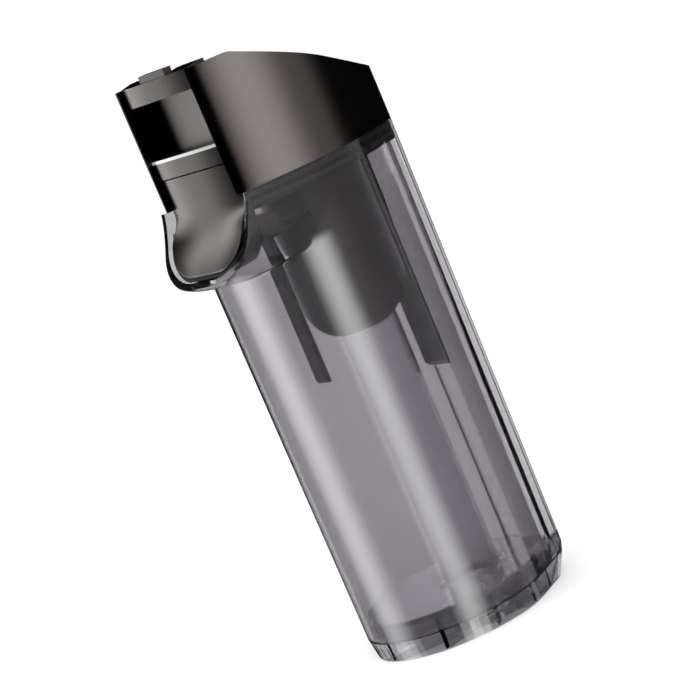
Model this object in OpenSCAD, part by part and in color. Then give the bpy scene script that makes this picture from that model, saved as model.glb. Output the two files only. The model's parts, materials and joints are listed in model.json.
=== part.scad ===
// Dirty water tank of an upright wet and dry vacuum cleaner.
// A clear tank with a pouring spout, a thick clear base with a riser tube,
// and a dark cap that lifts off with its grip, air filter, splash hood and level probes.
// The origin is the centre of the inlet on the underside, the grip faces -Y and +Z is up.

/* [Tank] */
// Height of the clear tank, from the underside to the seam below the cap
tank_h = 204.5; // [190:0.5:215]
// Width of the tank at its base
body_w = 78; // [74:0.5:84]
// Reach of the round front wall, from the widest line of the base
front_reach = 44; // [42:0.5:48]
// Half depth of the round rear sides, from the widest line
side_reach = 37; // [34:0.5:42]
// Reach of the flat rear wall, from the widest line
rear_reach = 46; // [44:0.5:50]
// Width of the flat rear wall
rear_flat_w = 42; // [36:0.5:50]
// Radius of the two rear corners
rear_corner_r = 4.5; // [3:0.25:6]
// Lean outwards of each wall between the base and the seam
draft = 1.4; // [0.6:0.1:2]
// Wall of the clear tank
wall = 2.2; // [1.8:0.1:2.6]
// Distance of the inlet behind the widest line
inlet_back = 10.7; // [9:0.1:12]

/* [Spout] */
// Width of the pouring spout
spout_w = 65; // [62:0.5:67]
// Depth below the seam at which the spout leaves the front wall
spout_drop = 34; // [31:0.5:37]
// Height over which the spout's underside rises to its lip
lip_rise = 6; // [5:0.5:9]
// Height over which the spout grows to its full width
spout_rise = 17; // [14:0.5:19]
// Lead of the spout's rim over the grip's front at the seam
rim_lead = 0.2; // [0.1:0.1:1]
// Lead of the spout's lip over its rim at the seam
lip_lead = 16.2; // [15:0.1:18]
// Radius of the spout's front corners
spout_corner_r = 8; // [6:0.5:11]
// Lead that the rim gains on its way down to the spout's root
rim_sweep = 17.5; // [16.5:0.1:19.5]

/* [Base] */
// Height of the clear base below its seam
base_h = 8.5; // [7:0.5:10]
// Height of the tank's inner floor
floor_z = 16.7; // [15:0.1:19]
// Thickness of the inner floor
floor_t = 2.4; // [2:0.1:3]
// Tuck of the base's lower edge
base_tuck = 1.4; // [0.5:0.1:2]
// Wall of the base's skirt and inner collar
skirt_t = 2.6; // [2:0.1:3]
// Height of the sloped rear edge of the base
heel_h = 14; // [11:0.5:14.5]
// Depth of the sloped rear edge at the underside
heel_d = 11; // [8:0.5:12]
// Number of stiffening ribs under the floor
rib_count = 12; // [8:1:16]
// Thickness of one rib
rib_t = 1.6; // [1.2:0.1:2]

/* [Riser] */
// Outer diameter of the riser tube
riser_od = 25; // [23:0.5:26]
// Wall of the riser tube
riser_t = 1.8; // [1.4:0.1:2.2]
// Depth of the riser's open top below the seam
riser_drop = 30.5; // [28.5:0.5:40]
// Depth of the socket that holds the riser's foot
socket_d = 4; // [3:0.5:5]
// Radius of the inlet's bore
inlet_r = 10.2; // [9:0.1:10.6]
// Outer diameter of the rubber ring round the inlet
inlet_seal_od = 31; // [30:0.5:33]
// Width and height of the rubber ring round the inlet
inlet_seal = [2.8, 2.6]; // [2:0.1:3]

/* [Cap] */
// Height of the cap's level top above the seam
cap_h = 53; // [48:0.5:58]
// Slope of the cap's top towards the rear, in degrees
roof_angle = 22.8; // [18:0.2:24]
// Distance of the slope's start in front of the widest line
roof_start = 24.6; // [23:0.2:26]
// Wall of the cap's shell
cap_t = 2.2; // [1.8:0.1:2.6]
// Half width of the opening in the cap's front
slot_half_w = 27.9; // [27:0.1:28.5]
// Lead of the cap's front jambs over the grip's front
jamb_lead = 0.2; // [0:0.1:1]
// Depth of the deck below the cap's top rim
deck_drop = 1.6; // [1:0.1:2.5]
// Thickness of the deck
deck_t = 2.2; // [1.8:0.1:2.6]
// Thickness of the floor that closes the cap
lid_floor_t = 2; // [1.6:0.1:2.6]
// Depth of the plug that enters the tank's mouth
plug_h = 8.2; // [7.5:0.1:9]

/* [Grip] */
// Height of the grip bar
bar_h = 8.2; // [7.5:0.1:10]
// Height of the sill's bright upper edge above the seam
sill_up = 21.5; // [18:0.5:25]
// Height of the bright strip on the sill
strip_h = 1.2; // [0.8:0.1:1.6]
// Depth of the bright strip at its ends
strip_d = 1.5; // [1.2:0.1:2]
// Height of the sill above its joint with the spout plug
sill_h = 8.2; // [7:0.1:11]
// Reach of the bar and the sill from the widest line
bar_reach = 40; // [39:0.1:41]
// Depth by which the bar's ends curve back
bar_drop = 1.5; // [1:0.25:3]
// Height by which the bar's top rises towards its back
top_rise = 1.2; // [0.8:0.1:1.6]
// Depth over which the bar's top rises
top_slope_d = 7.2; // [6:0.1:8]
// Depth of the pocket behind the bar's front
pocket_depth = 8.5; // [8:0.1:9]
// Wall of the pocket
pocket_t = 1.4; // [1.2:0.1:1.8]

/* [Catch] */
// Width of the sprung catch on the bar
catch_w = 20; // [16:0.5:22]
// Height of the catch above the cap's top
catch_proud = 3; // [2.8:0.1:3.5]
// Depth of the raised tab of the catch
catch_tab = 4; // [3:0.5:6]
// Travel of the catch
catch_travel = 2.6; // [2:0.1:2.8]
// Radius of the catch's stem
stem_r = 2.8; // [2.4:0.1:3]
// Length of the catch's stem below its arm
stem_l = 10.3; // [8:0.1:12]
// Rest length of the catch's spring
spring_l = 11; // [10:0.5:13]
// Thickness of the spring's wire
spring_wire = 0.6; // [0.4:0.1:0.8]

/* [Spout plug] */
// Inset of the plug's upright face behind the grip's front
scoop_inset = 0.4; // [0.2:0.1:0.7]
// Depth below the seam at which the face starts to flare
flare_drop = 1.5; // [-1.5:0.5:6.5]
// Depth of the plug's lower edge below the seam
scoop_drop = 29.1; // [28.5:0.1:29.5]
// Thickness of the plug behind its upright face
scoop_t = 3.2; // [2.6:0.1:3.6]
// Depth of the box on the plug's back
box_d = 9.4; // [8:0.2:10]
// Height of the box on the plug's back
box_h = 8.8; // [8:0.2:10]

/* [Hood and probes] */
// Outer radius of the splash hood
hood_r = 23.3; // [21:0.1:24]
// Wall of the splash hood
hood_t = 1.5; // [1.2:0.1:2]
// Depth of the shelf on top of the hood below the seam
shelf_drop = 21.5; // [20.5:0.5:23.5]
// Thickness of the shelf
shelf_t = 1.2; // [1:0.1:1.6]
// Depth of the hood's tongue below the seam
tongue_drop = 73; // [64:0.5:80]
// Corner radius of the hood's tongue
tongue_r = 18; // [10:0.5:20]
// Direction that the tongue faces, in degrees from +X
tongue_turn = -40; // [-60:1:-20]
// Depth of the front probe below the seam
front_probe_drop = 88; // [75:0.5:100]
// Width and thickness of the front probe
front_probe = [7.6, 2.3]; // [2:0.1:9]
// Distance of the front probe's face in front of the widest line
front_probe_y = 21.3; // [20:0.1:23]
// Depth of the rear probe below the seam
rear_probe_drop = 105; // [95:0.5:115]
// Width and thickness of the rear probe
rear_probe = [16.2, 4.6]; // [4:0.1:18]
// Distance of the rear probe's face behind the widest line
rear_probe_y = 35.2; // [34.5:0.1:35.5]

/* [Filter] */
// Outer radius of the filter's frame
filter_r = 23; // [20:0.5:24]
// Height of the filter's frame below its flange
filter_h = 11; // [9:0.5:12]
// Number of folds in the filter paper
fold_count = 13; // [9:1:17]
// Lead of the filter over the middle between the catch's guide and the rear wall
filter_lead = 4.25; // [2.75:0.25:4.75]

/* [Fits] */
// Gap between pieces that move apart
gap = 0.3; // [0.25:0.05:0.4]
// Gap between round pieces that stay together
snug = 0.15; // [0.1:0.05:0.2]

/* [Hidden] */
$fn = 64;

// Directions round an outline, and one overrun for every cut
sides = 72;
over = 1;

// Heights of the tank's and the cap's features, from the underside
spout_root_z = tank_h - spout_drop;
spout_full_z = spout_root_z + spout_rise;
riser_top_z = tank_h - riser_drop;
cap_top_z = tank_h + cap_h;
bar_z = cap_top_z - bar_h;
sill_z = tank_h + sill_up;
sill_joint_z = sill_z - sill_h;
flare_z = tank_h - flare_drop;
scoop_bottom_z = tank_h - scoop_drop;
shelf_z = tank_h - shelf_drop;
tongue_z = tank_h - tongue_drop;
front_probe_z = tank_h - front_probe_drop;
rear_probe_z = tank_h - rear_probe_drop;

// Reaches of the front's features from the widest line
rim_reach = bar_reach + rim_lead;
lip_reach = rim_reach + lip_lead;
jamb_reach = bar_reach + jamb_lead;
pocket_back = bar_reach - pocket_depth;
scoop_reach = bar_reach - scoop_inset;
scoop_back = scoop_reach - scoop_t;
stem_y = pocket_back - pocket_t - stem_r - gap;

// Distance of the filter's centre behind the widest line
filter_back = (rear_reach - stem_y + stem_r + gap + pocket_t) / 2 - filter_lead;

// Corner radius of the cap's jambs and the spout's edges
jamb_r = 1.2;
// Steps of the spout's rise
rise_shares = [0, 0.02, 0.06, 0.12, 0.2, 0.28, 0.36, 0.46, 0.56, 0.67, 0.78, 0.89, 1];
// Inset of the spout's open sides, as a share of their wall
side_share = 1.25;
// Power by which the spout's rim sweeps forward, and the steps of its curve
rim_power = 1.3;
rim_steps = 12;

// Outlines

// Lean of the walls at a height
function lean(z) = draft * z / tank_h;

// Point of an ellipse that lies farthest along a direction
function arc_point(a, b, d) = [a * a * d.x, b * b * d.y] / norm([a * d.x, b * d.y]);

// Point of a rounded corner that lies farthest along a direction
function corner_point(c, r, d) = [sign(d.x) * (c.x - r), sign(d.y) * (c.y - r)] + r * d;

// The farther of two points along a direction
function farther(p, q, d) = q * d > p * d ? q : p;

// Horizontal section of the tank at a height, with the corners of a front block
function section(z, inset = 0, block = [0, 0], block_r = jamb_r) = let (g = lean(z) - inset) [
    for (i = [0 : sides - 1])
        let (turn = (i + 0.5) * 360 / sides,
            d = [cos(turn), sin(turn)],
            reach = d.y < 0 ? front_reach : side_reach,
            wall_point = arc_point(body_w / 2 + g, reach + g, d),
            corner = d.y < 0 ? corner_point(block, block_r, d)
                : corner_point([rear_flat_w / 2 + g, rear_reach + g], rear_corner_r, d))
            farther(wall_point, corner, d) - [0, inlet_back]
];

// The same section as a ring of points in space
function ring(z, inset = 0, block = [0, 0], block_r = jamb_r) = [
    for (p = section(z, inset, block, block_r)) [p.x, p.y, z]
];

// Reach of the spout's rim at a height, steeper towards the lip
function rim_at(z) = rim_reach + rim_sweep * pow(max(0, tank_h - z) / spout_drop, rim_power);

// Share of a quarter round that is reached at a share of its height
function swell(t) = sqrt(1 - pow(1 - min(1, max(0, t)), 2));

// Half width and reach of the spout's block at a height
function spout_block(z, inset = 0) =
    let (up = z - spout_root_z - inset,
        reach = front_reach + (lip_reach - front_reach) * swell(up / lip_rise))
        [spout_w / 2 * swell(up / (spout_full_z - spout_root_z)) - inset * side_share, reach - inset];

// Radius of the block's corners at a height, which can't be larger than the block
function spout_r(z, inset = 0) = max(jamb_r, min(spout_corner_r - inset, spout_block(z, inset).x));

// Rings of the tank from its seam on the base up to a height, with the spout
function tank_rings(low, high, inset) = concat(
    [ring(low, inset)],
    [for (s = rise_shares)
        let (z = spout_root_z + inset + s * (spout_full_z - spout_root_z))
            ring(z, inset, spout_block(z, inset), spout_r(z, inset))],
    [ring(high, inset, spout_block(high, inset), spout_r(high, inset))]);

// Solid through rings of points that all run the same way
module loft(rings) {
    n = len(rings[0]);
    last = len(rings) - 1;
    polyhedron(
        points = [for (r = rings) each r],
        faces = [
            [for (i = [0 : n - 1]) i],
            [for (i = [n - 1 : -1 : 0]) last * n + i],
            for (k = [0 : last - 1], i = [0 : n - 1])
                each let (a = k * n + i, b = k * n + (i + 1) % n)
                    [[a, a + n, b + n], [a, b + n, b]]]);
}

// Prism with the outline at a height
module prism(low, high, inset, block = [0, 0]) {
    loft([ring(low, inset, block), ring(high, inset, block)]);
}

// Plate in the YZ plane, pushed out to both sides of the middle
module side_profile(points, w) {
    translate([-w / 2, -inlet_back, 0])
        rotate([90, 0, 90])
            linear_extrude(w)
                polygon(points);
}

// Box with its own ranges, given from the widest line
module block_at(x, y, z) {
    translate([x[0], y[0] - inlet_back, z[0]])
        cube([x[1] - x[0], y[1] - y[0], z[1] - z[0]]);
}

// Band along the spout's rim, from a distance behind it to one in front of it
module rim_space(back, front, low, high) {
    heights = [for (i = [0 : rim_steps]) low + (high - low) * i / rim_steps];
    side_profile(concat([for (z = heights) [back - rim_at(z), z]],
        [for (i = [rim_steps : -1 : 0]) [-front - rim_at(heights[i]), heights[i]]]), 2 * spout_w);
}

// Space behind and below the sloped heel of the base, or a distance ahead of it
module heel_cut(ahead = 0) {
    slope = heel_d / heel_h;
    rear = rear_reach + lean(heel_h) - ahead;
    side_profile([[rear - heel_d - over * slope, -over], [rear + over * slope, heel_h + over],
        [rear + heel_d, heel_h + over], [rear + heel_d, -over]], 2 * body_w);
}

// Tank

module tank_body() {
    color([0.72, 0.70, 0.74, 0.45])
        difference() {
            loft(tank_rings(base_h, tank_h, 0));
            loft(tank_rings(base_h - over, tank_h + over, wall));
            rim_space(0, lip_reach, spout_root_z, tank_h + over);
            heel_cut();
        }
}

module tank_base() {
    boss_r = inlet_seal_od / 2 + skirt_t;
    inner = wall + snug;
    color([0.78, 0.78, 0.80, 0.5])
        difference() {
            union() {
                difference() {
                    union() {
                        loft([ring(0, base_tuck), ring(base_h, 0)]);
                        prism(base_h, floor_z, inner);
                    }
                    difference() {
                        loft([ring(-over, base_tuck + skirt_t), ring(base_h - floor_t, skirt_t + wall),
                            ring(floor_z - floor_t, inner + skirt_t)]);
                        heel_cut(skirt_t);
                    }
                }
                cylinder(h = floor_z - floor_t / 2, r = boss_r);
                intersection() {
                    prism(0, floor_z - floor_t / 2, base_tuck + skirt_t / 2);
                    for (i = [0 : rib_count - 1])
                        rotate([0, 0, i * 360 / rib_count])
                            translate([0, -rib_t / 2, 0])
                                cube([body_w, rib_t, floor_z - floor_t / 2]);
                }
            }
            translate([0, 0, -over])
                cylinder(h = floor_z + 2 * over, r = inlet_r);
            translate([0, 0, floor_z - socket_d])
                cylinder(h = socket_d + over, r = riser_od / 2 + snug);
            translate([0, 0, -over])
                difference() {
                    cylinder(h = inlet_seal.y + over, r = inlet_seal_od / 2 + snug);
                    cylinder(h = inlet_seal.y + over, r = inlet_seal_od / 2 - inlet_seal.x - snug);
                }
            heel_cut();
        }
}

module riser_tube() {
    foot_z = floor_z - socket_d;
    color([0.80, 0.80, 0.83, 0.5])
        difference() {
            translate([0, 0, foot_z])
                cylinder(h = riser_top_z - foot_z, r = riser_od / 2);
            translate([0, 0, foot_z - over])
                cylinder(h = riser_top_z - foot_z + 2 * over, r = riser_od / 2 - riser_t);
        }
}

// Face ring with a groove in its lower face
module inlet_seal() {
    r = inlet_seal_od / 2;
    w = inlet_seal.x;
    h = inlet_seal.y;
    color([0.12, 0.12, 0.13])
        rotate_extrude()
            polygon([[r - w, h], [r - w, snug], [r - w * 0.65, snug], [r - w / 2, h / 3],
                [r - w * 0.35, snug], [r, snug], [r, h]]);
}

// Cap

// Space on one side of the sloped top, lowered by a drop and closed at a height
module beside_roof(drop, far_z) {
    top = cap_top_z - drop;
    rear = 2 * rear_reach;
    side_profile([[-lip_reach, top], [-roof_start, top],
        [rear, top - (rear + roof_start) * tan(roof_angle)],
        [rear, far_z], [-lip_reach, far_z]], 2 * body_w);
}

jamb_block = [spout_w / 2, jamb_reach];

module cap_shell() {
    inner_block = jamb_block - [cap_t, cap_t];
    color([0.42, 0.40, 0.38])
        difference() {
            prism(tank_h, cap_top_z, 0, jamb_block);
            prism(tank_h - over, cap_top_z + over, cap_t, inner_block);
            block_at([-slot_half_w, slot_half_w], [-lip_reach, -pocket_back],
                [tank_h - over, cap_top_z + over]);
            beside_roof(0, 2 * cap_top_z);
            for (x = terminal_x)
                terminal_hole(x);
        }
}

// Filter place on the slope, with Z square to the deck
filter_y = filter_back + roof_start;
module on_slope(depth = 0) {
    translate([0, filter_back - inlet_back, cap_top_z - deck_drop - filter_y * tan(roof_angle)])
        rotate([-roof_angle, 0, 0])
            translate([0, 0, -depth])
                children();
}

collar_t = 1.8;
collar_r = filter_r + gap + collar_t;
flange_t = 1.6;
ledge_w = 2.4;
gasket_t = 1.4;

module cap_deck() {
    inset = cap_t + snug;
    front = pocket_back - pocket_t;
    color([0.16, 0.15, 0.15])
        difference() {
            union() {
                difference() {
                    prism(tank_h + lid_floor_t, cap_top_z, inset, jamb_block - [inset, inset]);
                    beside_roof(deck_drop, 2 * cap_top_z);
                    beside_roof(deck_drop + deck_t, 0);
                    block_at([-slot_half_w, slot_half_w], [-lip_reach, -front + snug],
                        [tank_h, cap_top_z + over]);
                }
                on_slope(filter_h + gasket_t + collar_t)
                    cylinder(h = filter_h + gasket_t + collar_t - deck_t / 2, r = collar_r);
            }
            on_slope(filter_h + gasket_t)
                cylinder(h = filter_h + gasket_t + over, r = filter_r + gap);
            on_slope(flange_t + gap)
                cylinder(h = flange_t + gap + over, r = collar_r + gap);
            on_slope(filter_h + gasket_t + collar_t + over)
                cylinder(h = filter_h, r = filter_r - ledge_w);
            block_at([-catch_w / 2 - gap, catch_w / 2 + gap], [-lip_reach, stem_r + gap - stem_y],
                [tank_h, cap_top_z + over]);
            for (p = screw_shares)
                screw_place(p)
                    translate([0, 0, -deck_t - over])
                        cylinder(h = deck_t + 2 * over, r = screw_r + snug);
        }
}

// Deck screws, on both sides of the slope
screw_r = 1.3;
screw_head = [2.6, 1.4];
screw_l = 7;
screw_shares = [[-0.66, -0.42], [0.66, -0.42], [-0.36, 0.82], [0.36, 0.82]];
module screw_place(share) {
    x = share.x * body_w / 2;
    y = share.y * rear_reach;
    translate([x, y - inlet_back, cap_top_z - deck_drop - max(0, y + roof_start) * tan(roof_angle)])
        rotate([-roof_angle, 0, 0])
            children();
}

module deck_screws() {
    color([0.55, 0.55, 0.57])
        for (p = screw_shares)
            screw_place(p)
                difference() {
                    union() {
                        cylinder(h = screw_head[1], r = screw_head[0]);
                        translate([0, 0, -screw_l])
                            cylinder(h = screw_l, r = screw_r);
                    }
                    translate([0, 0, screw_head[1] / 3])
                        for (turn = [0, 90])
                            rotate([0, 0, turn])
                                translate([-screw_head[0] * 0.6, -screw_r * 0.2, 0])
                                    cube([screw_head[0] * 1.2, screw_r * 0.4, screw_head[1]]);
                }
}

module filter_frame() {
    color([0.22, 0.22, 0.23])
        difference() {
            union() {
                on_slope(filter_h)
                    cylinder(h = filter_h, r = filter_r);
                on_slope(flange_t)
                    cylinder(h = flange_t, r = collar_r);
                on_slope(flange_t / 2)
                    for (s = [-1, 1])
                        translate([s * (filter_r - collar_t / 2) - collar_t / 2, -ledge_w * 2, 0])
                            cube([collar_t, ledge_w * 4, collar_t + flange_t / 2]);
            }
            difference() {
                on_slope(filter_h + over)
                    cylinder(h = filter_h + 2 * over, r = filter_r - collar_t);
                on_slope(flange_t)
                    for (turn = [0, 90])
                        rotate([0, 0, turn + 45])
                            translate([-filter_r, -collar_t / 2, 0])
                                cube([2 * filter_r, collar_t, flange_t]);
            }
        }
}

module filter_paper() {
    r = filter_r - collar_t - snug;
    pitch = 2 * r / fold_count;
    sheet = pitch / 5;
    high = filter_h - flange_t - snug;
    top = [for (i = [0 : 2 * fold_count]) [-r + i * pitch / 2, i % 2 == 0 ? 0 : high - sheet]];
    color([0.88, 0.88, 0.84])
        on_slope(filter_h)
            intersection() {
                cylinder(h = high, r = r);
                translate([0, r, 0])
                    rotate([90, 0, 0])
                        linear_extrude(2 * r)
                            polygon(concat(top, [for (i = [2 * fold_count : -1 : 0]) top[i] + [0, sheet]]));
            }
}

module filter_gasket() {
    color([0.10, 0.10, 0.11])
        on_slope(filter_h + gasket_t)
            difference() {
                cylinder(h = gasket_t - gap, r = filter_r);
                translate([0, 0, -over])
                    cylinder(h = gasket_t + 2 * over, r = filter_r - ledge_w);
            }
}

// Plug of the cap, with two grooves for its seals
seal_h = 1.6;
seal_depth = 1.2;
plug_inset = wall + 3 * gap;
seal_low = [tank_h - plug_h * 0.36, tank_h - plug_h * 0.8];
duct_z = tank_h - plug_h;

module lid_frame() {
    inner_block = [spout_w / 2 - plug_inset, scoop_back];
    front = -scoop_back + snug;
    color([0.30, 0.28, 0.28])
        difference() {
            union() {
                prism(tank_h, tank_h + lid_floor_t, cap_t + snug, [0, 0]);
                difference() {
                    prism(duct_z, tank_h, plug_inset, inner_block);
                    prism(duct_z + lid_floor_t, tank_h + over, plug_inset + wall, inner_block - [wall, wall]);
                    for (z = seal_low)
                        difference() {
                            prism(z, z + seal_h, plug_inset - over, inner_block + [over, over]);
                            prism(z - over, z + seal_h + over, plug_inset + seal_depth,
                                inner_block - [seal_depth, seal_depth]);
                        }
                }
            }
            translate([0, 0, duct_z - over])
                cylinder(h = plug_h + lid_floor_t + 2 * over, r = hood_r - 2 * hood_t);
            block_at([-body_w, body_w], [-lip_reach, front], [duct_z - over, tank_h + 2 * lid_floor_t]);
        }
}

// Lip seal that runs round the plug, from one side of the spout to the other
module plug_seal(z) {
    inner_block = [spout_w / 2 - plug_inset, scoop_back];
    front = -scoop_back + snug;
    lip = plug_inset - wall - gap;
    color([0.08, 0.08, 0.09])
        difference() {
            prism(z, z + seal_h, plug_inset - lip, inner_block + [lip, lip]);
            prism(z - over, z + seal_h + over, plug_inset + seal_depth,
                inner_block - [seal_depth, seal_depth]);
            block_at([-body_w, body_w], [-lip_reach, front], [z - over, z + seal_h + over]);
        }
}

module upper_seal() {
    plug_seal(seal_low[0]);
}

module lower_seal() {
    plug_seal(seal_low[1]);
}

// Grip

// Front line that curves back at its ends, closed by a straight back
front_steps = 24;
function bowed(half_w, reach, drop, back) = concat(
    [for (i = [0 : front_steps])
        let (s = -cos(i * 180 / front_steps))
            [s * half_w, -reach + drop * pow(abs(s), 3) - inlet_back]],
    [[half_w, -back - inlet_back], [-half_w, -back - inlet_back]]);

bar_half_w = slot_half_w - snug;
// Edge of the bar in front of the catch, and the catch's arm below the cap's top
bar_lip = 0.9;
arm_t = 2.3;
arm_z = cap_top_z - arm_t;
// Reach of the bright strip's back
strip_back = bar_reach - bar_drop - strip_d;

module grip_bar() {
    color([0.44, 0.42, 0.40])
        difference() {
            intersection() {
                translate([0, 0, bar_z])
                    linear_extrude(cap_top_z + top_rise - bar_z)
                        polygon(bowed(bar_half_w, bar_reach, bar_drop, pocket_back - pocket_t));
                side_profile([[-bar_reach - over, bar_z - over], [-bar_reach - over, cap_top_z],
                    [-bar_reach, cap_top_z], [-bar_reach + top_slope_d, cap_top_z + top_rise],
                    [0, cap_top_z + top_rise], [0, bar_z - over]], 2 * bar_half_w + over);
            }
            block_at([-catch_w / 2 - gap, catch_w / 2 + gap],
                [-bar_reach + bar_lip, -stem_y],
                [arm_z - catch_travel - gap, cap_top_z + top_rise + over]);
        }
}

spring_z = arm_z - stem_l - spring_l;

module grip_pocket() {
    back = pocket_back - pocket_t;
    color([0.20, 0.19, 0.19])
        difference() {
            union() {
                difference() {
                    block_at([-bar_half_w, bar_half_w], [-strip_back, -back],
                        [sill_z - strip_h - pocket_t, bar_z]);
                    block_at([-bar_half_w + pocket_t, bar_half_w - pocket_t],
                        [-lip_reach, -pocket_back], [sill_z - strip_h, bar_z + over]);
                }
                translate([0, -stem_y - inlet_back, spring_z - pocket_t])
                    cylinder(h = bar_z - spring_z + pocket_t, r = stem_r + gap + pocket_t);
            }
            translate([0, -stem_y - inlet_back, spring_z])
                cylinder(h = bar_z - spring_z + over, r = stem_r + gap);
        }
}

module grip_sill() {
    color([0.46, 0.44, 0.42])
        difference() {
            translate([0, 0, sill_joint_z])
                linear_extrude(sill_z - strip_h - sill_joint_z)
                    polygon(bowed(bar_half_w, bar_reach, bar_drop, pocket_back));
            block_at([-bar_half_w - over, bar_half_w + over], [-strip_back, 0],
                [sill_z - strip_h - pocket_t, sill_z]);
        }
}

module sill_strip() {
    color([0.90, 0.90, 0.90])
        translate([0, 0, sill_z - strip_h])
            linear_extrude(strip_h)
                polygon(bowed(bar_half_w, bar_reach, bar_drop, strip_back));
}

module catch() {
    x = [-catch_w / 2, catch_w / 2];
    front = -bar_reach + bar_lip + gap;
    color([0.55, 0.53, 0.50])
        union() {
            block_at(x, [front, front + catch_tab], [arm_z, cap_top_z + catch_proud]);
            block_at(x, [front, stem_r - stem_y], [arm_z, cap_top_z - gap]);
            translate([0, -stem_y - inlet_back, arm_z - stem_l])
                cylinder(h = stem_l + over, r = stem_r);
        }
}

// Coil of round wire between the stem and the bottom of its guide
spring_turns = 6;
module catch_spring() {
    r = stem_r - spring_wire;
    steps = 16;
    wire_sides = 6;
    wire_r = spring_wire / 2;
    rise = (spring_l - spring_wire) / (spring_turns * steps);
    rings = [for (i = [0 : spring_turns * steps])
        let (turn = i * 360 / steps)
            [for (k = [0 : wire_sides - 1])
                let (w = -k * 360 / wire_sides, out = r + wire_r * cos(w))
                    [out * cos(turn), out * sin(turn), wire_r + i * rise + wire_r * sin(w)]]];
    color([0.70, 0.70, 0.72])
        translate([0, -stem_y - inlet_back, spring_z])
            loft(rings);
}

// Spout plug

// Share of the way from the flare's start down to the plug's lower edge
function flare_share(z) = min(1, max(0, (flare_z - z) / (flare_z - scoop_bottom_z)));

// Reach of the middle of the plug's front face, upright above and flared below
function face_reach(z) =
    let (flare = rim_at(scoop_bottom_z) - gap - scoop_reach)
        scoop_reach + flare * (1 - cos(90 * pow(flare_share(z), flare_power)));

// Reach that the spout and its rim leave to the plug at a height and a distance from the middle
function free_reach(z, x) =
    let (block = spout_block(z, plug_edge),
        r = spout_r(z, plug_edge),
        side = min(r, max(0, abs(x) - block.x + r)))
        min(rim_at(z) - gap, block.y - r + sqrt(r * r - side * side) - 2 * snug);

// Front line of the plug, bowed above and with its ends brought forward to the rim below
function trough(z, half, drop) =
    let (t = min(1, flare_share(z) / trough_share),
        near = t * t * (3 - 2 * t))
        concat([for (i = [0 : front_steps])
            let (s = -cos(i * 180 / front_steps),
                w = pow(abs(s), 3),
                open = free_reach(z, s * half),
                end = (face_reach(z) - drop) * (1 - near) + open * near)
                [s * half, -min(open, face_reach(z) * (1 - w) + end * w) - inlet_back]],
            [[half, -scoop_back - inlet_back], [-half, -scoop_back - inlet_back]]);

scoop_shares = [0, 0.03, 0.08, 0.16, 0.26, 0.38, 0.5, 0.62, 0.74, 0.86, 1];
// Share of the flare over which the plug's ends come forward, and the power of its curve
trough_share = 0.42;
flare_power = 1.15;
seal_t = 1.2;
seal_w = 1.8;
plug_gap = wall + gap;
plug_edge = plug_gap + seal_t;

module spout_plug() {
    low = scoop_bottom_z + plug_edge / 2;
    rings = concat(
        [for (s = scoop_shares)
            let (z = low + s * (flare_z - low),
                half = min(bar_half_w, spout_block(z, plug_edge).x - snug))
                [for (p = trough(z, half, bar_drop)) [p.x, p.y, z]]],
        [[for (p = bowed(bar_half_w, scoop_reach, bar_drop, scoop_back)) [p.x, p.y, sill_joint_z]]]);
    color([0.40, 0.38, 0.36])
        union() {
            loft(rings);
            box_on_back();
        }
}

module box_on_back() {
    low = shelf_z + shelf_t;
    r = box_h / 3;
    half = bar_half_w;
    side_profile([
        [-scoop_back - over, low], [-scoop_back + box_d, low],
        for (a = [0 : 15 : 90]) [-scoop_back + box_d - r + r * cos(a), low + box_h - r + r * sin(a)],
        [-scoop_back - over, low + box_h]], 2 * half);
}

// Thin rubber edge between the plug and the clear spout
module spout_seal() {
    low = spout_root_z + plug_gap;
    high = tank_h - plug_h * 0.1;
    half = spout_w / 2 - plug_gap * side_share;
    color([0.07, 0.07, 0.08])
        intersection() {
            block_at([-half, half], [-lip_reach, 0], [low - over, high]);
            difference() {
                loft(tank_rings(low - over, high, plug_gap));
                loft(tank_rings(low - 2 * over, high + over, plug_gap + seal_t));
            }
            rim_space(2 * seal_w, -seal_w, spout_root_z, tank_h);
        }
}

// Hood and probes

// Half angle of the air opening at the hood's top
notch = 58;
module splash_hood() {
    color([0.24, 0.20, 0.20, 0.9])
        difference() {
            union() {
                intersection() {
                    difference() {
                        translate([0, 0, tongue_z])
                            cylinder(h = duct_z - tongue_z, r = hood_r);
                        translate([0, 0, tongue_z - over])
                            cylinder(h = shelf_z - tongue_z + over, r = hood_r - hood_t);
                        translate([0, 0, shelf_z + shelf_t])
                            cylinder(h = duct_z - shelf_z, r = hood_r - hood_t);
                    }
                    tongue_shape();
                }
                translate([0, 0, shelf_z])
                    linear_extrude(shelf_t)
                        difference() {
                            shelf_outline();
                            circle(r = hood_r - hood_t / 2);
                        }
            }
            translate([0, 0, shelf_z + shelf_t])
                rotate([0, 0, tongue_turn - 90])
                    rotate_extrude(angle = -2 * notch)
                        translate([hood_r - 2 * hood_t, 0])
                            square([3 * hood_t, duct_z - shelf_z]);
        }
}

module shelf_outline() {
    front = scoop_back + inlet_back - over;
    half = bar_half_w;
    root = hood_r / sqrt(2);
    polygon([[-half, -front], [half, -front], [half, -front + box_d], [root, -root],
        [-root, -root], [-half, -front + box_d]]);
}

// Upright outline of the hood with a round-cornered tongue, pushed through along its direction
module tongue_shape() {
    w = 2 * hood_r;
    r = tongue_r;
    rotate([0, 0, tongue_turn + 90])
        translate([0, w, 0])
            rotate([90, 0, 0])
                linear_extrude(2 * w)
                    polygon([
                        for (a = [180 : 10 : 270]) [-hood_r + r + r * cos(a), tongue_z + r + r * sin(a)],
                        for (a = [270 : 10 : 360]) [hood_r - r + r * cos(a), tongue_z + r + r * sin(a)],
                        [hood_r, duct_z], [-hood_r, duct_z]]);
}

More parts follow.
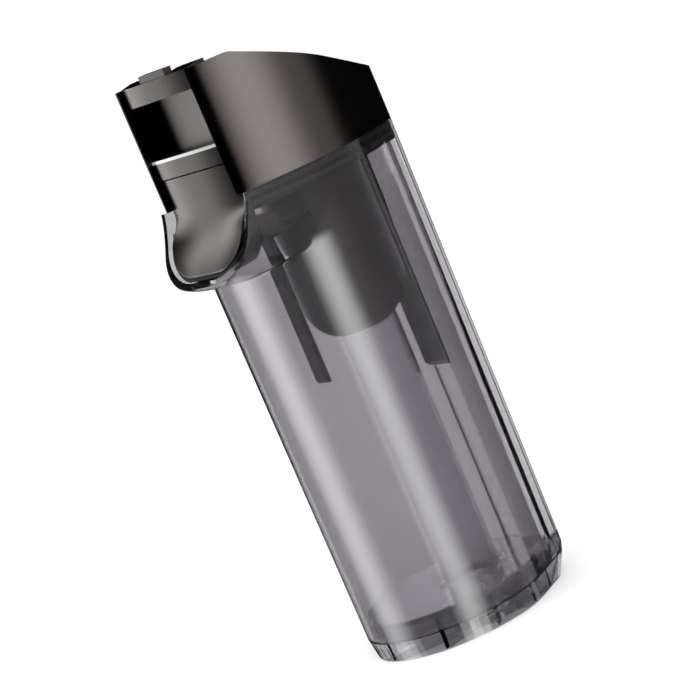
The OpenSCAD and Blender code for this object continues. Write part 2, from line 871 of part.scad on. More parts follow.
// Flat bar with a slanted foot
module probe_bar(size, y, low, high) {
    foot = size.y / 2;
    translate([-size.x / 2, 0, 0])
        translate([0, y - inlet_back, 0])
            rotate([90, 0, 90])
                linear_extrude(size.x)
                    polygon([[0, low + foot], [foot, low], [size.y, low], [size.y, high], [0, high]]);
}

// Metal strips in the back faces of the probes
contact_w = 2.4;
contact_t = 0.5;
contact_l = 22;

module contact_strip(y, low, over_cut) {
    block_at([-contact_w / 2, contact_w / 2], [y - contact_t, y + over_cut],
        [low, low + contact_l]);
}

module front_probe() {
    y = -front_probe_y;
    color([0.20, 0.17, 0.17])
        difference() {
            probe_bar(front_probe, y, front_probe_z, shelf_z);
            contact_strip(y + front_probe.y, front_probe_z + front_probe.y, over);
        }
}

module front_contact() {
    color([0.75, 0.75, 0.77])
        contact_strip(front_probe.y - front_probe_y, front_probe_z + front_probe.y, 0);
}

// Height of the thicker root of the rear probe
gusset_h = 30;
module rear_probe() {
    gusset_z = duct_z - gusset_h;
    thick = rear_probe.y;
    back = rear_probe_y + thick;
    color([0.20, 0.17, 0.17])
        difference() {
            union() {
                probe_bar(rear_probe, rear_probe_y, rear_probe_z, duct_z);
                side_profile([[back - over, gusset_z - thick], [back, gusset_z - thick],
                    [back + thick / 2, gusset_z + 2 * thick], [back + thick / 2, duct_z],
                    [back - over, duct_z]], rear_probe.x);
            }
            contact_strip(back, rear_probe_z + thick, over);
        }
}

module rear_contact() {
    color([0.75, 0.75, 0.77])
        contact_strip(rear_probe_y + rear_probe.y, rear_probe_z + rear_probe.y, 0);
}

// Contacts in the cap's flat rear wall
terminal_r = 1.6;
terminal_head = [2.4, 0.5];
terminal_x = [-8, 0, 8];
terminal_up = 8;
module terminal_place(x) {
    translate([x, rear_reach + lean(tank_h + 2 * terminal_up) - inlet_back, tank_h + terminal_up])
        rotate([-90, 0, 0])
            children();
}

module terminal_hole(x) {
    terminal_place(x)
        translate([0, 0, -cap_t - over])
            cylinder(h = cap_t + 2 * over, r = terminal_r + snug);
}

module rear_terminals() {
    color([0.80, 0.68, 0.40])
        for (x = terminal_x)
            terminal_place(x) {
                translate([0, 0, -cap_t - 2 * over])
                    cylinder(h = cap_t + 2 * over, r = terminal_r);
                cylinder(h = terminal_head[1], r = terminal_head[0]);
            }
}

tank_body();
tank_base();
riser_tube();
inlet_seal();
cap_shell();
cap_deck();
deck_screws();
filter_frame();
filter_paper();
filter_gasket();
lid_frame();
upper_seal();
lower_seal();
grip_bar();
grip_pocket();
grip_sill();
sill_strip();
catch();
catch_spring();
spout_plug();
spout_seal();
splash_hood();
front_probe();
rear_probe();
front_contact();
rear_contact();
rear_terminals();
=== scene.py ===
"""Looks of a vacuum cleaner's clear dirty water tank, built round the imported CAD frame.

Sizes are in mm in the build and become metres in the meshes. The frame's origin is the
centre of the inlet on the underside, the grip faces -Y and +Z is up.
"""
import json
import math

import bmesh
import bpy
from mathutils import Matrix, Vector

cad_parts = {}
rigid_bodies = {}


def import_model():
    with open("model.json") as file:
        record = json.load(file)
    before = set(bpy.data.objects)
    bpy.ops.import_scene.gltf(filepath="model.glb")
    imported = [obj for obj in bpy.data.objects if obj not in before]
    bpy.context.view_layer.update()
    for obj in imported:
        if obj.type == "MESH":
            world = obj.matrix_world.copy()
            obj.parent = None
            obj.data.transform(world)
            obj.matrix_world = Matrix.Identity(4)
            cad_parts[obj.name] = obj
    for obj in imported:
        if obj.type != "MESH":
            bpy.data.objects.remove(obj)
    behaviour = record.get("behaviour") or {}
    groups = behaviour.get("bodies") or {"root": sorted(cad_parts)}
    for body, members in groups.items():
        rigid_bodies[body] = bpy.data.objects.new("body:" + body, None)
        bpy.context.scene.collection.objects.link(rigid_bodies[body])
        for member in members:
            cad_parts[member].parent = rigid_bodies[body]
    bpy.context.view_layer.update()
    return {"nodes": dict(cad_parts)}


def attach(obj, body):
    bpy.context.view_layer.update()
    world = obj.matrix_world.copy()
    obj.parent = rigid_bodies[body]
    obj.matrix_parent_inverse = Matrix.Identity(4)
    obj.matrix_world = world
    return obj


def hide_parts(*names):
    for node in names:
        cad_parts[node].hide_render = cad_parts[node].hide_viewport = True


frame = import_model()
NODES = frame["nodes"]
MM = 0.001

# Sizes of the part, in mm, from its CAD source
TANK_H = 204.5
BODY_W = 78.0
FRONT_REACH = 44.0
SIDE_REACH = 37.0
REAR_REACH = 46.0
REAR_FLAT_W = 42.0
REAR_CORNER_R = 4.5
CAVITY_CORNER_R = 9.0  # rounder than in the source, for the look of a thick corner
DRAFT = 1.4
WALL = 2.2
INLET_BACK = 10.7
SPOUT_W = 65.0
SPOUT_DROP = 34.0
SPOUT_ROOT_Z = 170.5
SPOUT_FULL_Z = 187.5
LIP_RISE = 6.0
LIP_REACH = 56.4
SPOUT_CORNER_R = 8.0
RIM_REACH = 40.2
RIM_SWEEP = 17.5
RIM_POWER = 1.3
JAMB_R = 1.2
BASE_H = 8.5
CAP_TOP_Z = 257.5
ROOF_SLOPE = math.tan(math.radians(22.8))
ROOF_START = 24.6
CAP_T = 2.2
SLOT_HALF_W = 27.9
JAMB_REACH = 40.2
CAP_CORNER_R = 4.0
SPOUT_INSET_SHARE = 1.25  # side walls of the spout slant, so its inside is narrower by more
FRONT_POWER = 45  # the higher the power, the tighter the hull of two outlines
REAR_POWER = 160
HEEL_D = 11.0
HEEL_H = 14.0

# Fineness and reach of the meshes and their cutters
SECTION_POINTS = 288
CAP_POINTS = 720
SPOUT_RINGS = 26
SPOUT_RINGS_POWER = 1.8  # closer rings at the root
RIM_STEPS = 30
RIM_CUT_HALF_W = 130.0
RIM_CUT_D = 80.0
HEEL_CUT_HALF_W = 156.0
EDGE_SEGMENTS = 3
WALL_EDGE = 0.45
CAP_EDGE = 0.5
PLUG_EDGE_ROUND = 0.3
SMOOTH_ANGLE = 34.0


# Outlines

def lean(z):
    """Growth of the tank's outline at a height."""
    return DRAFT * z / TANK_H


def ellipse_point(a, b, d):
    """Point of an ellipse that lies farthest along a direction."""
    n = math.hypot(a * d[0], b * d[1])
    return (a * a * d[0] / n, b * b * d[1] / n)


def corner_point(cx, cy, r, d):
    """Point of a rounded corner that lies farthest along a direction."""
    return (math.copysign(cx - r, d[0]) + r * d[0], math.copysign(cy - r, d[1]) + r * d[1])


def section(z, inset=0.0, block=(0.0, 0.0), corner_r=JAMB_R, rear_r=REAR_CORNER_R,
            n=SECTION_POINTS):
    """Horizontal section of the tank at a height, with the corners of a front block."""
    g = lean(z) - inset
    out = []
    for i in range(n):
        a = (i + 0.5) * 2 * math.pi / n
        d = (math.cos(a), math.sin(a))
        front = d[1] < 0
        p = ellipse_point(BODY_W / 2 + g, (FRONT_REACH if front else SIDE_REACH) + g, d)
        if front:
            q = corner_point(block[0], block[1], corner_r, d)
            power = FRONT_POWER
        else:
            q = corner_point(REAR_FLAT_W / 2 + g, REAR_REACH + g, rear_r, d)
            power = REAR_POWER
        x, y = joined(p, q, d, power)
        out.append((x, y - INLET_BACK))
    return out


def joined(p, q, d, power):
    """Point of the soft hull of two outlines, from their farthest points along a direction."""
    hp = max(0.0, p[0] * d[0] + p[1] * d[1])
    hq = max(0.0, q[0] * d[0] + q[1] * d[1])
    big = max(hp, hq)
    h = big * ((hp / big) ** power + (hq / big) ** power) ** (1 / power)
    wp, wq = (hp / h) ** (power - 1), (hq / h) ** (power - 1)
    return (wp * p[0] + wq * q[0], wp * p[1] + wq * q[1])


def ring(z, inset, block=(0.0, 0.0), corner_r=JAMB_R):
    """Section at a height as points in space, with thicker rear corners in the cavity."""
    rear_r = CAVITY_CORNER_R if inset else REAR_CORNER_R
    return [(x, y, z) for x, y in section(z, inset, block, corner_r, rear_r)]


def rim_at(z):
    """Reach of the spout's rim at a height."""
    return RIM_REACH + RIM_SWEEP * (max(0.0, TANK_H - z) / SPOUT_DROP) ** RIM_POWER


def swell(t):
    """Share of a quarter round that is reached at a share of its height."""
    return math.sqrt(1 - (1 - min(1.0, max(0.0, t))) ** 2)


def spout_block(z, inset=0.0):
    """Half width and reach of the spout's block at a height."""
    up = z - SPOUT_ROOT_Z - inset
    half_w = SPOUT_W / 2 * swell(up / (SPOUT_FULL_Z - SPOUT_ROOT_Z))
    reach = FRONT_REACH + (LIP_REACH - FRONT_REACH) * swell(up / LIP_RISE)
    return (half_w - inset * SPOUT_INSET_SHARE, reach - inset)


def spout_r(z, inset=0.0):
    """Radius of the spout's front corners at a height."""
    return max(JAMB_R, min(SPOUT_CORNER_R - inset, spout_block(z, inset)[0]))


# Mesh helpers

def new_object(name, bm):
    """Object of a bmesh that is built in mm."""
    bmesh.ops.recalc_face_normals(bm, faces=bm.faces[:])
    bmesh.ops.scale(bm, vec=(MM, MM, MM), verts=bm.verts[:])
    mesh = bpy.data.meshes.new(name)
    bm.to_mesh(mesh)
    bm.free()
    obj = bpy.data.objects.new(name, mesh)
    bpy.context.scene.collection.objects.link(obj)
    return obj


def loft(rings):
    """Closed bmesh through rings of points with the same count."""
    bm = bmesh.new()
    rows = [[bm.verts.new(p) for p in r] for r in rings]
    n = len(rows[0])
    for a, b in zip(rows, rows[1:]):
        for i in range(n):
            j = (i + 1) % n
            bm.faces.new((a[i], a[j], b[j], b[i]))
    bm.faces.new(rows[0][::-1])
    bm.faces.new(rows[-1])
    return bm


def prism_yz(points, half_w):
    """Bmesh of a profile in the YZ plane, pushed out to both sides of the middle."""
    return loft([[(x, y - INLET_BACK, z) for y, z in points] for x in (-half_w, half_w)])


def apply_modifiers(obj):
    """Gives the object the mesh that its modifiers make."""
    graph = bpy.context.evaluated_depsgraph_get()
    mesh = bpy.data.meshes.new_from_object(obj.evaluated_get(graph))
    obj.modifiers.clear()
    obj.data = mesh
    return obj


def boolean(obj, cutters, operation="DIFFERENCE"):
    """Cuts an object by others, or joins them to it, and removes them."""
    for c in cutters:
        m = obj.modifiers.new("cut", "BOOLEAN")
        m.operation = operation
        m.solver = "EXACT"
        m.object = c
    apply_modifiers(obj)
    for c in cutters:
        bpy.data.objects.remove(c)


def smooth(obj, angle):
    """Shades a mesh smooth between faces that meet at less than an angle."""
    bm = bmesh.new()
    bm.from_mesh(obj.data)
    for f in bm.faces:
        f.smooth = True
    limit = math.radians(angle)
    for e in bm.edges:
        e.smooth = len(e.link_faces) == 2 and e.calc_face_angle(0.0) < limit
    bm.to_mesh(obj.data)
    bm.free()
    return obj


def bevel(obj, width, angle):
    """Rounds the edges that are sharper than an angle."""
    m = obj.modifiers.new("bevel", "BEVEL")
    m.width = width * MM
    m.segments = EDGE_SEGMENTS
    m.limit_method = "ANGLE"
    m.angle_limit = math.radians(angle)
    return obj


def weigh_normals(obj):
    """Keeps large faces flat beside rounded edges."""
    m = obj.modifiers.new("normals", "WEIGHTED_NORMAL")
    m.keep_sharp = True
    m.weight = 90
    return obj


def finished(obj, width, angle=40.0):
    """Piece with rounded edges and even shading."""
    apply_modifiers(bevel(obj, width, angle))
    return apply_modifiers(weigh_normals(smooth(obj, SMOOTH_ANGLE)))


# Materials

class Nodes:
    """Short way to write a node tree."""

    def __init__(self, name):
        self.mat = bpy.data.materials.new(name)
        self.mat.use_nodes = True
        self.tree = self.mat.node_tree
        self.tree.nodes.clear()
        self.out = self.tree.nodes.new("ShaderNodeOutputMaterial")

    def add(self, kind, links=None, **values):
        n = self.tree.nodes.new("ShaderNode" + kind)
        for key, v in values.items():
            setattr(n, key, v)
        for key, v in (links or {}).items():
            socket = n.inputs[key]
            if isinstance(v, bpy.types.NodeSocket):
                self.tree.links.new(v, socket)
            else:
                socket.default_value = v
        return n

    def coords(self):
        return self.add("TexCoord").outputs["Object"]

    def scaled(self, scale):
        return self.add("Mapping", {"Vector": self.coords(), "Scale": scale}).outputs["Vector"]

    def noise(self, scale, detail=3.0, stretch=(1, 1, 1)):
        return self.add("TexNoise", {"Vector": self.scaled(stretch), "Scale": scale,
                                     "Detail": detail}).outputs["Fac"]

    def ramp(self, fac, low, high):
        return self.add("MapRange", {"Value": fac, "From Min": 0.3, "From Max": 0.7,
                                     "To Min": low, "To Max": high}).outputs["Result"]

    def blend(self, fac, a, b):
        n = self.add("Mix", data_type="RGBA")
        self.tree.links.new(fac, n.inputs[0])
        n.inputs[6].default_value = (*a, 1)
        n.inputs[7].default_value = (*b, 1)
        return n.outputs[2]

    def shade(self, color, fac, share):
        """Paints shade into a colour: darkens it by a share where a factor is 1, and not at all
        below a low one.
        """
        left = self.add("MapRange", {"Value": fac, "From Min": 0.35,
                                     "To Min": 1.0, "To Max": 1.0 - share})
        n = self.add("VectorMath", operation="SCALE")
        self.tree.links.new(color, n.inputs[0])
        self.tree.links.new(left.outputs["Result"], n.inputs["Scale"])
        return n.outputs["Vector"]

    def bump(self, height, strength, distance):
        return self.add("Bump", {"Height": height, "Strength": strength,
                                 "Distance": distance}).outputs["Normal"]

    def finish(self, shader):
        self.tree.links.new(shader.outputs[0], self.out.inputs["Surface"])
        return self.mat


# Share by which the clear plastics' colour is darkened where seen edge on: painted shade for the
# dark edges of clear walls.
EDGE_ON_PAINTED_SHADE = 0.75


def clear_plastic(name, tint, tint_2, rough, wave, coat):
    """Smoky clear plastic, with painted shade that darkens its colour edge on, that lets lamps
    through and is faintly wavy.
    """
    n = Nodes(name)
    cloud = n.noise(18.0, 2.0)
    edge = n.add("LayerWeight", {"Blend": 0.35})
    shader = n.add("BsdfPrincipled", {
        "Base Color": n.shade(n.blend(cloud, tint, tint_2), edge.outputs["Facing"], EDGE_ON_PAINTED_SHADE),
        "Roughness": n.ramp(n.noise(400.0), rough * 0.7, rough * 1.3),
        "Normal": n.bump(n.noise(30.0, 1.0, (1, 1, 0.3)), wave, 0.0004),
        "Transmission Weight": 1.0, "IOR": 1.5,
        "Coat Weight": coat, "Coat Roughness": 0.24, "Coat IOR": 1.8})
    lamp = n.add("BsdfTransparent", {"Color": (*[math.sqrt(c) for c in tint], 1)})
    path = n.add("LightPath")
    mix = n.add("MixShader")
    n.tree.links.new(path.outputs["Is Shadow Ray"], mix.inputs[0])
    n.tree.links.new(shader.outputs[0], mix.inputs[1])
    n.tree.links.new(lamp.outputs[0], mix.inputs[2])
    return n.finish(mix)


def metallic(name, low, high, rough):
    """Dark pearl metallic finish under a thin clear coat, with fine upright lines."""
    n = Nodes(name)
    lines = n.noise(60.0, 4.0, (12, 12, 0.15))
    flakes = n.noise(2600.0, 1.0)
    shader = n.add("BsdfPrincipled", {
        "Base Color": n.blend(lines, low, high), "Metallic": 1.0,
        "Roughness": n.ramp(flakes, rough * 0.95, rough * 1.05),
        "Coat Weight": 0.15, "Coat Roughness": 0.15})
    return n.finish(shader)


def plastic(name, low, high, rough, grain=900.0, depth=0.15, coat=0.0):
    """Opaque moulded plastic with a fine grain."""
    n = Nodes(name)
    fine = n.noise(grain, 4.0)
    shader = n.add("BsdfPrincipled", {
        "Base Color": n.blend(n.noise(60.0), low, high),
        "Roughness": n.ramp(fine, rough * 0.85, rough * 1.15),
        "Normal": n.bump(fine, depth, 0.00005),
        "Coat Weight": coat, "Coat Roughness": 0.1})
    return n.finish(shader)


def metal(name, low, high, rough=0.3):
    """Bare metal with fine drawn lines."""
    n = Nodes(name)
    lines = n.noise(500.0, 3.0, (1, 1, 12))
    shader = n.add("BsdfPrincipled", {
        "Base Color": n.blend(lines, low, high), "Metallic": 1.0,
        "Roughness": n.ramp(lines, rough * 0.8, rough * 1.2)})
    return n.finish(shader)


CLEAR_TANK = clear_plastic("clear_tank", (0.47, 0.455, 0.478), (0.485, 0.47, 0.493),
                           rough=0.03, wave=0.012, coat=0.3)
CLEAR_BASE = clear_plastic("clear_base", (0.60, 0.59, 0.61), (0.66, 0.65, 0.67),
                           rough=0.03, wave=0.02, coat=0.3)
CLEAR_TUBE = clear_plastic("clear_tube", (0.66, 0.65, 0.68), (0.70, 0.69, 0.72),
                           rough=0.1, wave=0.02, coat=0.6)
SHELL = metallic("metallic_shell", (0.046, 0.040, 0.037), (0.056, 0.050, 0.046), 0.35)
DARK = plastic("dark_plastic", (0.013, 0.012, 0.011), (0.020, 0.018, 0.017), 0.42)
SMOKY = metallic("smoky_plastic", (0.021, 0.0175, 0.017), (0.026, 0.0215, 0.021), 0.3)
# The pocket has the shell's dark metallic finish made about twice as light: painted light, so
# that its back wall in the recess looks lit.
POCKET_PAINTED_LIGHT = metallic("pocket_shell_painted_lighter", (0.10, 0.092, 0.085), (0.115, 0.106, 0.098), 0.38)
# The sill strip's light grey is a painted highlight along the edge of the sill.
STRIP_PAINTED_HIGHLIGHT = plastic("bright_strip", (0.42, 0.42, 0.42), (0.50, 0.50, 0.50), 0.2, coat=0.5)
RUBBER = plastic("rubber", (0.010, 0.010, 0.011), (0.018, 0.018, 0.019), 0.55, 1600.0, 0.3)
STEEL = metal("steel", (0.50, 0.50, 0.52), (0.68, 0.68, 0.70))
BRASS = metal("brass", (0.62, 0.46, 0.22), (0.78, 0.62, 0.34))
PAPER = plastic("paper", (0.72, 0.71, 0.66), (0.84, 0.83, 0.79), 0.9, 1200.0, 0.6)

FINISH = {
    "tank_body": CLEAR_TANK, "tank_base": CLEAR_BASE, "riser_tube": CLEAR_TUBE,
    "inlet_seal": RUBBER, "cap_shell": SHELL, "cap_deck": DARK, "deck_screws": STEEL,
    "filter_frame": DARK, "filter_paper": PAPER, "filter_gasket": RUBBER, "lid_frame": SMOKY,
    "upper_seal": RUBBER, "lower_seal": RUBBER, "grip_bar": SHELL, "grip_pocket": POCKET_PAINTED_LIGHT,
    "grip_sill": SHELL, "sill_strip": STRIP_PAINTED_HIGHLIGHT, "catch": SHELL, "catch_spring": STEEL,
    "spout_plug": SHELL, "spout_seal": RUBBER, "splash_hood": SMOKY, "front_probe": SMOKY,
    "rear_probe": SMOKY, "front_contact": STEEL, "rear_contact": STEEL, "rear_terminals": BRASS,
}
for node, mat in FINISH.items():
    obj = NODES[node]
    if not obj.material_slots:
        obj.data.materials.append(mat)
    for slot in obj.material_slots:
        slot.material = mat


# Tank body

def tank_rings(low, high, inset):
    """Rings of the tank with its spout, from the seam on the base up."""
    rings = [ring(low, inset)]
    for i in range(SPOUT_RINGS + 1):
        s = (i / SPOUT_RINGS) ** SPOUT_RINGS_POWER
        z = SPOUT_ROOT_Z + inset + s * (SPOUT_FULL_Z - SPOUT_ROOT_Z)
        rings.append(ring(z, inset, spout_block(z, inset), spout_r(z, inset)))
    rings.append(ring(high, inset, spout_block(high, inset), spout_r(high, inset)))
    return rings


def rim_space(low, high):
    """Space in front of the spout's rim."""
    heights = [low + (high - low) * i / RIM_STEPS for i in range(RIM_STEPS + 1)]
    line = [(-rim_at(z), z) for z in heights]
    far = -RIM_REACH - RIM_CUT_D
    return prism_yz(line + [(far, high), (far, low)], RIM_CUT_HALF_W)


def build_tank():
    """Clear wall with its spout, open at the top and the bottom, cut off slanting at the heel."""
    body = new_object("tank_wall", loft(tank_rings(BASE_H, TANK_H, 0.0)))
    cavity = new_object("cavity", loft(tank_rings(BASE_H - 1, TANK_H + 1, WALL)))
    rim = new_object("rim", rim_space(SPOUT_ROOT_Z - 5, TANK_H + 1))
    slope = HEEL_D / HEEL_H
    rear = REAR_REACH + lean(HEEL_H)
    heel = new_object("heel", prism_yz([
        (rear - HEEL_D - slope, -1), (rear + slope, HEEL_H + 1),
        (rear + HEEL_D, HEEL_H + 1), (rear + HEEL_D, -1)], HEEL_CUT_HALF_W))
    boolean(body, [cavity, rim, heel])
    return finished(body, WALL_EDGE)


# Spout plug

PLUG_HALF_W = 27.75
SCOOP_REACH = 39.6
SCOOP_BACK = 36.4
BOX_LOW_Z = 184.2
BOX_D = 9.4
BOX_H = 8.8
SCOOP_LOW_Z = 175.4
SCOOP_TOP_Z = 217.2
FLARE_Z = 203.0
PLUG_EDGE = 3.7
PLUG_GAP = 0.3
END_DROP = 1.5
FLARE_POWER = 1.15
TROUGH_SHARE = 0.42
END_POWER = 3  # the face keeps to its middle's reach and bends near its ends
FACE_RINGS = 60
FACE_RINGS_POWER = 1.6  # closer rings at the low edge
FACE_POINTS = 64
ARC_STEPS = 10


def flare_share(z):
    """Share of the flare's height that lies above a height."""
    return min(1.0, max(0.0, (FLARE_Z - z) / (FLARE_Z - SCOOP_LOW_Z)))


def face_reach(z):
    """Reach of the middle of the plug's face, upright above and flared below."""
    flare = rim_at(SCOOP_LOW_Z) - PLUG_GAP - SCOOP_REACH
    return SCOOP_REACH + flare * (1 - math.cos(math.pi / 2 * flare_share(z) ** FLARE_POWER))


def free_reach(z, x):
    """Reach that the spout leaves to the plug at a height and a distance from the middle."""
    half, reach = spout_block(z, PLUG_EDGE)
    r = spout_r(z, PLUG_EDGE)
    side = min(r, max(0.0, abs(x) - half + r))
    return min(rim_at(z) - PLUG_GAP, reach - r + math.sqrt(r * r - side * side) - PLUG_GAP)


def face_line(z, half):
    """Front line of the plug at a height, bowed above and a trough below."""
    t = min(1.0, flare_share(z) / TROUGH_SHARE)
    near = t * t * (3 - 2 * t)
    out = []
    for i in range(FACE_POINTS + 1):
        s = -math.cos(math.pi * i / FACE_POINTS)
        w = abs(s) ** END_POWER
        free = free_reach(z, s * half) if z < FLARE_Z else face_reach(z)
        end = (face_reach(z) - END_DROP) * (1 - near) + free * near
        out.append((s * half, -min(free, face_reach(z) * (1 - w) + end * w) - INLET_BACK, z))
    return out


def build_plug():
    """Face of the plug as one smooth sheet, closed at the back, with the box behind it."""
    low = SCOOP_LOW_Z + PLUG_EDGE / 2
    rings = []
    back = -SCOOP_BACK - INLET_BACK
    for i in range(FACE_RINGS + 1):
        z = low + (FLARE_Z - low) * (i / FACE_RINGS) ** FACE_RINGS_POWER
        half = min(PLUG_HALF_W, spout_block(z, PLUG_EDGE)[0] - PLUG_GAP / 2)
        rings.append(face_line(z, half) + [(half, back, z), (-half, back, z)])
    rings.append([(x, y, SCOOP_TOP_Z) for x, y, _ in rings[-1]])
    plug = new_object("plug_face", loft(rings))
    r = BOX_H / 3
    front, rear = -SCOOP_BACK - 1, -SCOOP_BACK + BOX_D
    arc = [(rear - r + r * math.cos(a), BOX_LOW_Z + BOX_H - r + r * math.sin(a))
           for a in (math.pi / 2 * k / ARC_STEPS for k in range(ARC_STEPS + 1))]
    box = new_object("box", prism_yz([(front, BOX_LOW_Z), (rear, BOX_LOW_Z)] + arc
                                     + [(front, BOX_LOW_Z + BOX_H)], PLUG_HALF_W))
    boolean(plug, [box], "UNION")
    return finished(plug, PLUG_EDGE_ROUND, 50)


def place(obj, body, node, mat):
    """Gives a piece its finish and body, and hides the CAD node that it stands for."""
    obj.data.materials.clear()
    obj.data.materials.append(mat)
    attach(obj, body)
    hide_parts(node)


place(build_tank(), "tank", "tank_body", CLEAR_TANK)
place(build_plug(), "cap", "spout_plug", SHELL)


# Cap shell

def roof_at(y):
    """Height of the cap's top at a distance behind the widest line."""
    return CAP_TOP_Z - max(0.0, y + ROOF_START) * ROOF_SLOPE


def build_cap_shell():
    """Wall that runs from one jamb round the rear to the other, under a sloped top."""
    slot_y = -JAMB_REACH + 10 - INLET_BACK

    def path(inset):
        """Points from the right jamb round the rear to the left jamb."""
        block = (SPOUT_W / 2 - inset, JAMB_REACH - inset)
        pts = section(TANK_H, inset, block, CAP_CORNER_R - inset / 2, n=CAP_POINTS)
        start = 3 * CAP_POINTS // 4
        pts = [p for p in pts[start:] + pts[:start]
               if abs(p[0]) >= SLOT_HALF_W or p[1] >= slot_y]
        jamb_y = -JAMB_REACH - INLET_BACK + inset
        return [(SLOT_HALF_W, jamb_y)] + pts + [(-SLOT_HALF_W, jamb_y)]

    loop = path(0.0) + path(CAP_T)[::-1]
    top = []
    for x, y in loop:
        z = roof_at(y + INLET_BACK)
        grow = 1 + (lean(z) - lean(TANK_H)) / math.hypot(x, y + INLET_BACK)
        top.append((x * grow if abs(x) > SLOT_HALF_W + 0.01 else x, y, z))
    shell = new_object("cap_wall", loft([[(x, y, TANK_H) for x, y in loop], top]))
    return finished(shell, CAP_EDGE)


place(build_cap_shell(), "cap", "cap_shell", SHELL)


# Edges and shading of the CAD nodes

def smooth_group(limit):
    """Node group that shades a mesh smooth between faces that meet at less than an angle."""
    group = bpy.data.node_groups.new("smooth_by_angle", "GeometryNodeTree")
    group.interface.new_socket("Geometry", in_out="INPUT", socket_type="NodeSocketGeometry")
    group.interface.new_socket("Geometry", in_out="OUTPUT", socket_type="NodeSocketGeometry")
    nodes, links = group.nodes, group.links
    start, end = nodes.new("NodeGroupInput"), nodes.new("NodeGroupOutput")
    faces = nodes.new("GeometryNodeSetShadeSmooth")
    edges = nodes.new("GeometryNodeSetShadeSmooth")
    edges.domain = "EDGE"
    compare = nodes.new("FunctionNodeCompare")
    compare.data_type = "FLOAT"
    compare.operation = "LESS_THAN"
    compare.inputs[1].default_value = limit
    angle = nodes.new("GeometryNodeInputMeshEdgeAngle")
    links.new(angle.outputs[0], compare.inputs[0])
    links.new(compare.outputs[0], edges.inputs["Shade Smooth"])
    links.new(start.outputs[0], faces.inputs["Geometry"])
    links.new(faces.outputs[0], edges.inputs["Geometry"])
    links.new(edges.outputs[0], end.inputs[0])
    return group


EDGE_ANGLE = 30.0
NODE_SMOOTH_ANGLE = 32.0
EDGE_WIDTH = {"grip_bar": 0.5, "grip_sill": 0.3, "sill_strip": 0.35, "catch": 0.6,
              "grip_pocket": 0.45, "tank_base": 0.4, "front_probe": 0.3, "rear_probe": 0.4}
for node, width in EDGE_WIDTH.items():
    bevel(NODES[node], width, EDGE_ANGLE)
SMOOTH = smooth_group(math.radians(NODE_SMOOTH_ANGLE))
for node in FINISH:
    NODES[node].modifiers.new("smooth", "NODES").node_group = SMOOTH
    weigh_normals(NODES[node])


# Stage, lights and camera

def stage_floor():
    """Plain pale floor, which reflections don't show."""
    bm = bmesh.new()
    half = 12000.0
    corners = [bm.verts.new(p) for p in
               ((-half, -half, 0), (half, -half, 0), (half, half, 0), (-half, half, 0))]
    bm.faces.new(corners)
    floor = new_object("floor", bm)
    n = Nodes("floor_white")
    shader = n.add("BsdfDiffuse", {"Color": (0.9, 0.9, 0.9, 1)})
    floor.data.materials.append(n.finish(shader))
    floor.visible_glossy = False


CAMERA_TURN = 57.9
CAMERA_PITCH = 8.9
CAMERA_ROLL = 22.97
CAMERA_PLACE = (0.9144, -0.5872, 0.2925)
CAMERA_LENS = 136.1
VIEW_ANGLE = CAMERA_TURN - 90.0
FADE_POWER = 2.0


def fade_sides(data):
    """Fades a light from its middle to its sides, so that its reflection has soft edges."""
    data.use_nodes = True
    tree = data.node_tree
    emission = tree.nodes["Emission"]
    split = tree.nodes.new("ShaderNodeSeparateXYZ")
    tree.links.new(tree.nodes.new("ShaderNodeNewGeometry").outputs["Parametric"], split.inputs[0])

    def maths(kind, a, b):
        m = tree.nodes.new("ShaderNodeMath")
        m.operation = kind
        for i, v in enumerate((a, b)):
            if isinstance(v, bpy.types.NodeSocket):
                tree.links.new(v, m.inputs[i])
            else:
                m.inputs[i].default_value = v
        return m.outputs[0]

    wave = maths("SINE", maths("MULTIPLY", split.outputs[0], math.pi), 0.0)
    tree.links.new(maths("POWER", wave, FADE_POWER), emission.inputs["Strength"])


CAP_MESHES = ("cap_wall", "plug_face")
CAP_NODES = ("cap_deck", "deck_screws", "filter_frame", "filter_gasket", "grip_bar",
             "grip_pocket", "grip_sill", "sill_strip", "catch", "rear_terminals")


def light_group(key):
    """Collection of the outside of the cap, or of all the rest, for lights of its own."""
    group = bpy.data.collections.new("lit_" + key)
    cap_nodes = [NODES[n] for n in CAP_NODES]
    for obj in bpy.context.scene.objects:
        if obj.type == "MESH":
            of_cap = obj.name in CAP_MESHES or obj in cap_nodes
            if of_cap == (key == "cap"):
                group.objects.link(obj)
    return group


def softbox(name, angle, distance, width, height, radiance, z=0.0, only=None):
    """Tall soft light at an angle round the object, in degrees from the view, facing it."""
    data = bpy.data.lights.new(name, "AREA")
    fade_sides(data)
    data.shape = "RECTANGLE"
    data.size = width
    data.size_y = height
    data.energy = radiance * math.pi * width * height
    obj = bpy.data.objects.new(name, data)
    a = math.radians(VIEW_ANGLE + angle)
    obj.location = (math.cos(a) * distance, math.sin(a) * distance, z)
    obj.rotation_euler = (math.radians(90), 0, a + math.radians(90))
    obj.visible_camera = False
    obj.visible_transmission = False
    obj.light_linking.receiver_collection = only
    bpy.context.scene.collection.objects.link(obj)
    return obj


def world_white():
    """White surroundings, which reflections don't show."""
    world = bpy.data.worlds.new("white")
    world.use_nodes = True
    bg = world.node_tree.nodes["Background"]
    bg.inputs["Color"].default_value = (1, 1, 1, 1)
    bg.inputs["Strength"].default_value = 1.15
    world.cycles_visibility.glossy = False
    bpy.context.scene.world = world


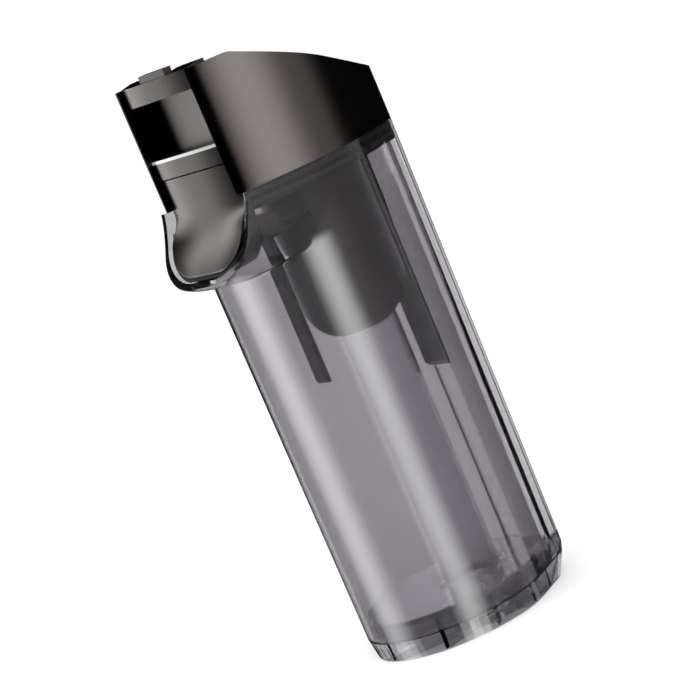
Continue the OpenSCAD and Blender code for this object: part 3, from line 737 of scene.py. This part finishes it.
def photo_camera():
    """Camera at the photo's viewing angle, rolled because the photo shows the tank leaning."""
    turn, pitch, roll = (math.radians(v) for v in (CAMERA_TURN, CAMERA_PITCH, CAMERA_ROLL))
    right = Vector((math.cos(turn), math.sin(turn), 0))
    back = Vector((math.sin(turn), -math.cos(turn), 0))
    forward = -back * math.cos(pitch) + Vector((0, 0, -math.sin(pitch)))
    up = right.cross(forward)
    x = math.cos(roll) * right - math.sin(roll) * up
    y = math.sin(roll) * right + math.cos(roll) * up
    data = bpy.data.cameras.new("photo")
    data.sensor_width = 36.0
    data.sensor_fit = "HORIZONTAL"
    data.lens = CAMERA_LENS
    data.clip_end = 60.0
    obj = bpy.data.objects.new("photo", data)
    z = -forward
    obj.matrix_world = Matrix((
        (x.x, y.x, z.x, CAMERA_PLACE[0]), (x.y, y.y, z.y, CAMERA_PLACE[1]),
        (x.z, y.z, z.z, CAMERA_PLACE[2]), (0, 0, 0, 1)))
    bpy.context.scene.collection.objects.link(obj)
    bpy.context.scene.camera = obj


stage_floor()
world_white()
photo_camera()

# Lights: name, angle from the view, distance, width, height, radiance
lit_cap, lit_tank = light_group("cap"), light_group("tank")
softbox("front_box", 16, 1.6, 1.3, 2.4, 7.0, only=lit_tank)
softbox("left_box", -80, 1.3, 1.5, 2.2, 4.6, only=lit_tank)
softbox("floor_box", 180, 1.9, 0.9, 0.5, 2.2, 0.35, lit_tank).visible_transmission = True
softbox("cap_box", 35, 1.6, 0.6, 2.4, 11.5, only=lit_cap)
softbox("side_box", 66, 1.6, 2.0, 2.4, 1.1, only=lit_cap)
softbox("grip_box", -125, 1.3, 0.8, 2.2, 4.5, only=lit_cap)
softbox("back_box", 158, 1.8, 0.7, 2.4, 1.6).visible_transmission = True
softbox("top_box", 0, 0.2, 0.9, 0.9, 1.0, 1.6).rotation_euler = (0, 0, 0)

scene = bpy.context.scene
scene.view_settings.view_transform = "Standard"
scene.cycles.transparent_max_bounces = 32
scene.cycles.transmission_bounces = 24
scene.cycles.max_bounces = 28
